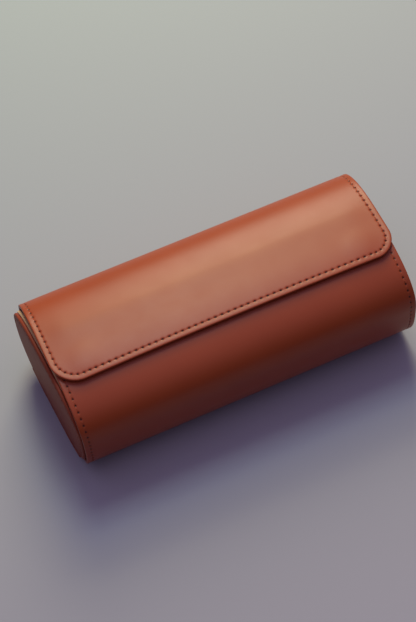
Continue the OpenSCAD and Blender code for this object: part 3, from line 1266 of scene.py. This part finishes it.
@dataclass
class Cushion:
    """A lift-out watch cushion: suede sewn round a foam block, with a seam near each end."""

    side: str
    # How slack the cover starts, and how it is blown out
    draw_in: float = 1.6
    voxel: float = 2.2
    pressure: float = 4.0
    cap: float = 2.4
    frames: int = 20
    quality: int = 6
    smoothings: int = 3
    # The end seams: place, depth, half width, and how strongly and how often they pucker
    seam_x: float = 22.6
    seam_depth: float = 1.1
    seam_half: float = 1.5
    pucker: float = 0.25
    puckers: int = 26
    fill: float = 0.85

    # How square the block is in section and towards its ends, and the cuts of its grid
    SECTION_POWER = 2.7
    END_POWER = 7
    CUTS = 23
    # Height and size of the slow unevenness, and how near the axis nothing is moved
    SOFT_HIGH = 0.5
    SOFT_SIZE = 17
    AXIS = 6

    def _block(self) -> BMesh:
        """The slack cover, a little inside the space it will fill, about its own middle in mm."""
        low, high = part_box(f"{self.side}_cushion_cover")
        size = (high - low) / MM - Vector((2, 2, 2)) * self.draw_in
        bm = bmesh.new()
        bmesh.ops.create_cube(bm, size=2.0)
        bmesh.ops.subdivide_edges(bm, edges=bm.edges[:], cuts=self.CUTS, use_grid_fill=True)
        flat, end = self.SECTION_POWER, self.END_POWER
        for vert in bm.verts:
            p = vert.co
            across = (abs(p.y) ** flat + abs(p.z) ** flat) ** (1 / flat)
            whole = (abs(p.x) ** end + across**end) ** (1 / end)
            vert.co = Vector((p.x * size.x, p.y * size.y, p.z * size.z)) / (2 * max(whole, 1e-6))
        return bm

    @staticmethod
    def _evaluated(cover: Piece) -> bpy.types.Mesh:
        """A copy of the cover's mesh as its modifiers leave it."""
        graph = bpy.context.evaluated_depsgraph_get()
        return bpy.data.meshes.new_from_object(cover.evaluated_get(graph))

    def _stuff(self, bm: BMesh) -> BMesh:
        """Blows the cover out against its own cloth, as the foam in it does."""
        bm.transform(Matrix.Scale(MM, 4))
        cover = in_scene("slack_cover", mesh_of("slack_cover", bm))
        remesh = cover.modifiers.new("remesh", "REMESH")
        remesh.mode = "VOXEL"
        remesh.voxel_size = self.voxel * MM
        cover.data = self._evaluated(cover)
        cover.modifiers.clear()
        start = np.array([v.co for v in cover.data.vertices])
        cloth = cover.modifiers.new("cloth", "CLOTH")
        cloth.settings.use_pressure = True
        cloth.settings.uniform_pressure_force = self.pressure
        cloth.settings.effector_weights.gravity = 0.0
        cloth.settings.quality = self.quality
        cloth.point_cache.frame_start = 1
        cloth.point_cache.frame_end = self.frames
        scene = bpy.context.scene
        for number in range(1, self.frames + 1):
            scene.frame_set(number)
        blown = self._evaluated(cover)
        scene.frame_set(1)
        move = np.array([v.co for v in blown.vertices]) - start
        far = np.linalg.norm(move, axis=1, keepdims=True)
        end = start + move * np.minimum(1.0, self.cap * MM / np.maximum(far, 1e-9))
        done = bmesh.new()
        done.from_mesh(blown)
        for vert, spot in zip(done.verts, end):
            vert.co = Vector(spot) / MM
        bpy.data.objects.remove(cover)
        for _ in range(self.smoothings):
            bmesh.ops.smooth_vert(
                done, verts=done.verts[:], factor=0.5, use_axis_x=True, use_axis_y=True, use_axis_z=True
            )
        bmesh.ops.subdivide_edges(done, edges=done.edges[:], cuts=1, use_grid_fill=True, smooth=1.0)
        return done

    def _sew(self, bm: BMesh) -> None:
        """Draws the two end seams in, with puckers all round, and fits the space."""
        low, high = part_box(f"{self.side}_cushion_cover")
        room = (high - low) / (2 * MM)
        size = self.SOFT_SIZE
        for vert in bm.verts:
            p = vert.co
            turn = math.atan2(p.z, p.y)
            off = abs(abs(p.x) - self.seam_x)
            pucker = 1 + self.pucker * math.sin(turn * self.puckers + math.copysign(1.0, p.x))
            pull = self.seam_depth * pucker * math.exp(-((off / self.seam_half) ** 2))
            spot = Vector((p.x / size, p.y / size, p.z / size + ord(self.side[0])))
            soft = self.SOFT_HIGH * noise.noise(spot)
            out = Vector((0.0, p.y, p.z))
            span = out.length
            if span > self.AXIS:
                p += out * ((soft - pull) / span)
            for axis in range(3):
                p[axis] = max(-room[axis], min(room[axis], p[axis]))

    def build(self) -> Piece:
        """Makes the cushion and puts it in its compartment."""
        bm = self._block()
        bm = self._stuff(bm)
        self._sew(bm)
        bmesh.ops.recalc_face_normals(bm, faces=bm.faces[:])
        low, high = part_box(f"{self.side}_cushion_cover")
        bm.transform(Matrix.Translation((low + high) / 2) @ Matrix.Scale(MM, 4))
        piece = smooth_object(f"{self.side}_cushion_suede", bm, CUSHION_SUEDE)
        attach(piece, f"{self.side}_cushion")
        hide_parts(f"{self.side}_cushion_cover", f"{self.side}_cushion_foam")
        LOG.info("%s cushion: %d faces", self.side, len(piece.data.polygons))
        return piece


@dataclass(frozen=True)
class SoftBox:
    """A soft box: its place and its side in metres, its power in watts and its colour as hex."""

    name: str
    spot: tuple[float, float, float]
    side: float
    watts: float
    colour: str

    def hang(self, aim: Vector) -> None:
        """Hangs the lamp so that it faces a point."""
        data = bpy.data.lights.new(self.name, "AREA")
        data.shape = "SQUARE"
        data.size = self.side
        data.energy = self.watts
        data.color = linear(self.colour)[:3]
        spot = Vector(self.spot)
        turn = (aim - spot).to_track_quat("-Z", "Y").to_matrix().to_4x4()
        in_scene(self.name, data).matrix_world = Matrix.Translation(spot) @ turn


class Studio:
    """The camera at the photograph's place, a plain floor and soft light."""

    # The camera's place and direction, fitted to the stitches in the photograph
    EYE = Vector((-0.1640, -0.4563, 0.8308))
    AZIMUTH = 19.151
    ELEVATION = 58.468
    ROLL = -5.835
    LENS = 99.44
    SENSOR = 36.0
    CLIP = (0.01, 20.0)

    # The soft boxes, and the point that they face
    LAMPS = (
        SoftBox("window", (0.265, 0.775, 0.6), 0.44, 6.2, "#fff7dc"),
        SoftBox("lamp", (0.2, 0.66, 0.9), 0.4, 3.2, "#fff1a0"),
        SoftBox("skylight", (0.12, 0.46, 1.13), 0.34, 4.4, "#d3eaea"),
    )
    AIM = Vector((0, 0, 0.03))
    FLOOR_HALF = 3.0

    # The room's light: its colours low and high, how late it brightens upwards, its strength
    ROOM = ("#1a151d", "#e1cfff")
    ROOM_POWER = 3.0
    ROOM_LIGHT = 0.9

    def _camera(self) -> None:
        """Sets the camera up."""
        data = bpy.data.cameras.new("camera")
        data.lens = self.LENS
        data.sensor_width = self.SENSOR
        data.sensor_fit = "AUTO"
        data.clip_start, data.clip_end = self.CLIP
        shot = in_scene("camera", data)
        azimuth, elevation, roll = (math.radians(a) for a in (self.AZIMUTH, self.ELEVATION, self.ROLL))
        level = math.cos(elevation)
        forward = Vector((math.sin(azimuth) * level, math.cos(azimuth) * level, -math.sin(elevation)))
        right = Vector((math.cos(azimuth), -math.sin(azimuth), 0.0))
        up = right.cross(forward)
        turned_right = right * math.cos(roll) + up * math.sin(roll)
        turned_up = -right * math.sin(roll) + up * math.cos(roll)
        basis = Matrix((turned_right, turned_up, -forward)).transposed()
        shot.matrix_world = Matrix.Translation(self.EYE) @ basis.to_4x4()
        bpy.context.scene.camera = shot

    def _floor(self) -> None:
        """Lays the paper sweep."""
        bm = bmesh.new()
        bmesh.ops.create_grid(bm, x_segments=1, y_segments=1, size=self.FLOOR_HALF)
        floor = in_scene("floor", mesh_of("floor", bm))
        floor.data.materials.append(TableTop().material())

    def _room(self) -> None:
        """Lights the scene from all round, more from above."""
        world = bpy.data.worlds.new("room")
        bpy.context.scene.world = world
        world.use_nodes = True
        tree = world.node_tree
        ground = tree.nodes["Background"]
        place = add_node(tree, "ShaderNodeTexCoord", {}).outputs["Generated"]
        height = add_node(tree, "ShaderNodeSeparateXYZ", {0: place}).outputs[2]
        upper = add_node(tree, "ShaderNodeMath", {0: height, 1: 0.0}, operation="MAXIMUM").outputs[0]
        fall = add_node(tree, "ShaderNodeMath", {0: upper, 1: self.ROOM_POWER}, operation="POWER")
        tree.links.new(ramp(tree, fall.outputs[0], *self.ROOM), ground.inputs[0])
        ground.inputs[1].default_value = self.ROOM_LIGHT

    def build(self) -> None:
        """Puts the camera, the floor, the lamps and the room's light in."""
        self._camera()
        self._floor()
        for lamp in self.LAMPS:
            lamp.hang(self.AIM)
        self._room()
        LOG.info("studio: camera, floor and %d lamps", len(self.LAMPS))


@dataclass
class Wing:
    """A wing of the roll: its leather, lining and stitching, down to the fold at its foot."""

    body: str
    node: str
    section: Section
    outline: Outline
    fold_b: float
    relief: Relief

    def _span(self, past: float) -> Span:
        """The length of the wing, from its free edge to some way past its fold line."""
        if self.outline.edge is Edge.FRONT:
            return self.outline.edge_b, self.fold_b + past
        return self.fold_b - past, self.outline.edge_b

    def _fold(self, piece: Piece) -> None:
        """Lets a sheet bend where it crosses the fold line."""
        y, z = self.section.place(np.array([self.fold_b]), np.zeros(1))
        foot = Vector((0.0, float(y[0]), float(z[0])))
        rise = Vector((0.0, 0.0, FOLD_BEND))
        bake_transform(piece, "base", self.body, start=(foot - rise) * MM, end=(foot + rise) * MM)

    def build(self) -> None:
        """Builds and hangs every piece of the wing."""
        low, high = self._span(-FOLD_SHORT)
        every = self.outline.needle_holes(abs(self.fold_b - self.outline.edge_b) + self.outline.half_len)
        holes = np.array([t for t in every if low < self.outline.point(t)[1] < high])
        sheet = LeatherSheet(
            f"{self.node}_leather_sheet", self.section, self.outline, *self._span(FOLD_PAST),
            (self.fold_b,), holes, relief=self.relief,
        ).build()
        self._fold(sheet)
        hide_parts(f"{self.node}_leather")
        cloth = lining(
            f"{self.node}_suede_sheet", self.section, self.outline, self._span(FOLD_PAST),
            (self.fold_b,),
        )
        self._fold(cloth)
        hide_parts(f"{self.node}_lining")
        both_rows(self.node, self.section, self.outline, self.body, holes)
        LOG.info("%s: leather, lining and %d needle holes", self.body, len(holes))


@dataclass
class FlapCore:
    """The flap's stiffening board and the two magnets let into it, sprung up with its free edge."""

    outline: Outline
    fold_b: float
    board_t: float = 0.8
    magnet_b: float = -11.0
    # The film of glue on each face of the board
    glue: float = 0.02

    def _magnet(self, side: str) -> Piece:
        """One flexible magnet, which takes the curve of the board."""
        bm = bmesh.new()
        x = -MAGNET_X if side == "left" else MAGNET_X
        place = Matrix.Translation((x, self.magnet_b, -LEATHER_T - self.board_t))
        bmesh.ops.create_circle(bm, cap_ends=True, segments=64, radius=MAGNET_R, matrix=place)
        doubled(bm, self.board_t - self.glue)
        lines_across(bm, [self.magnet_b + MAGNET_R * (step / 6 - 1) for step in range(1, 12)])
        settle(bm, self.outline)
        CROWN.roll(bm)
        return smooth_object(f"flap_magnet_disc_{side}", bm, MAGNET)

    def build(self) -> None:
        """Builds the board and its magnets."""
        board = InnerLayer(
            "flap_board_sheet", CROWN, self.outline, self.outline.edge_b, self.fold_b - FOLD_SHORT,
            -LEATHER_T - self.glue, self.board_t - 2 * self.glue, BOARD, "board",
        ).build()
        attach(board, "flap")
        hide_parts("flap_board")
        for side in ("left", "right"):
            magnet = self._magnet(side)
            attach(magnet, "flap")
            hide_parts(f"flap_magnet_{side}")
        LOG.info("flap: board and two magnets")


@dataclass
class Base:
    """The leather and lining between the two folds, on which the roll rests."""

    fold_arc: float

    def build(self) -> None:
        """Builds and hangs the base's pieces."""
        front = -self.fold_arc - FOLD_PAST
        back = -(2 * CROWN.half - self.fold_arc) + FOLD_PAST
        outline = BaseOutline(back, front)
        holes = outline.needle_holes()
        sheet = LeatherSheet(
            "base_leather_sheet", CROWN, outline, back, front, (), holes, free_edge=False, relief=no_relief,
        ).build()
        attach(sheet, "base")
        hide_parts("base_leather")
        cloth = lining("base_suede_sheet", CROWN, outline, (back, front), ())
        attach(cloth, "base")
        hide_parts("base_lining")
        both_rows("base", CROWN, outline, "base", holes)
        LOG.info("base: leather, lining and %d needle holes", len(holes))


@dataclass
class EndPanel:
    """An end panel: a leather-covered half outside, sewn round its rim, and a suede pad inside."""

    side: str
    at_x: float
    turn: float
    shell_inset: float = 2.9
    shell_t: float = 2.05
    shell_crown: float = 0.5
    row: float = 2.7
    pad_inset: float = 2.4
    pad_at: float = 2.15
    pad_t: float = 2.05
    pad_crown: float = 0.25
    edge_round: float = 0.8

    def build(self) -> None:
        """Builds both halves."""
        place = Matrix.Translation((self.at_x * MM, 0, 0)) @ Matrix.Rotation(self.turn, 4, "Z")
        # The leather half takes the darker copy of the leather, which is painted shade
        shell = OvalPanel(
            f"{self.side}_end_leather_panel", SHADED_END_LEATHER, "end_leather", place, FRONT_RISE,
            self.shell_inset, self.shell_t, self.edge_round,
            crown=self.shell_crown, row=self.row, segments=560,
        ).build()
        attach(shell, "base")
        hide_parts(f"{self.side}_end_leather")
        # The pad takes the lighter copy of the suede, which is painted light
        pad = OvalPanel(
            f"{self.side}_end_suede_panel", LIT_PAD_SUEDE, "suede",
            place @ Matrix.Translation((self.pad_at * MM, 0, 0)), FRONT_RISE,
            self.pad_inset, self.pad_t, self.edge_round, crown=self.pad_crown,
        ).build()
        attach(pad, "base")
        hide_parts(f"{self.side}_end_pad")
        LOG.info("%s end panel", self.side)


@dataclass
class Divider:
    """A divider between two compartments, covered with suede."""

    side: str
    rise: float = 12.5
    inset: float = 2.4
    edge_round: float = 1.3

    def build(self) -> None:
        """Builds the divider."""
        low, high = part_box(f"{self.side}_divider_cover")
        cover = OvalPanel(
            f"{self.side}_divider_suede", SUEDE, "suede", Matrix.Translation((low.x, 0, 0)),
            self.rise, self.inset, (high.x - low.x) / MM, self.edge_round,
        ).build()
        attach(cover, "base")
        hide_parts(f"{self.side}_divider_cover")
        LOG.info("%s divider", self.side)


def dress_frame() -> None:
    """Gives every node of the frame its own finish."""
    finishes = {"board": BOARD, "magnet": MAGNET, "foam": FOAM, "leather": LEATHER}
    for name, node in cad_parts.items():
        known = [finish for word, finish in finishes.items() if word in name]
        node.data.materials.clear()
        node.data.materials.append((known or [SUEDE])[0].material())


def main() -> None:
    """Builds the roll and its studio, and reports each piece."""
    logging.basicConfig(level=logging.INFO, format="%(name)s: %(message)s")
    bpy.context.scene.view_settings.view_transform = "Standard"
    Studio().build()
    dress_frame()
    crown_fold = CROWN.arc(HINGE_Y, low=True)
    flap = Outline(
        half_len=97.5, edge_b=-21.75, edge=Edge.FRONT, radius_left=14.8, radius_right=12.7,
        middle_run=(-20.203 * PITCH, 21.797 * PITCH), anchor_left=99.3, anchor_right=100.0,
        corner_left=7, corner_right=6, bow=0.65, spring=1.3,
    )
    front = Outline(
        half_len=96.3, edge_b=UNDER.arc(FRONT_REACH, low=False), edge=Edge.BACK,
        radius_left=12.0, radius_right=12.0, middle_run=(-22.0 * PITCH, 22.0 * PITCH),
        anchor_left=98.2, anchor_right=98.2, corner_left=4, corner_right=4,
    )
    Wing("flap", "flap", CROWN, flap, crown_fold, FlapRelief()).build()
    FlapCore(flap, crown_fold).build()
    Wing("front_wing", "front", UNDER, front, -UNDER.arc(HINGE_Y, low=True), soft_waves).build()
    Base(crown_fold).build()
    EndPanel("left", LEFT_END_X, LEFT_YAW).build()
    EndPanel("right", RIGHT_END_X, math.pi).build()
    for side in ("left", "right"):
        Divider(side).build()
    for side in ("left", "middle", "right"):
        Cushion(side).build()


if __name__ == "__main__":
    main()
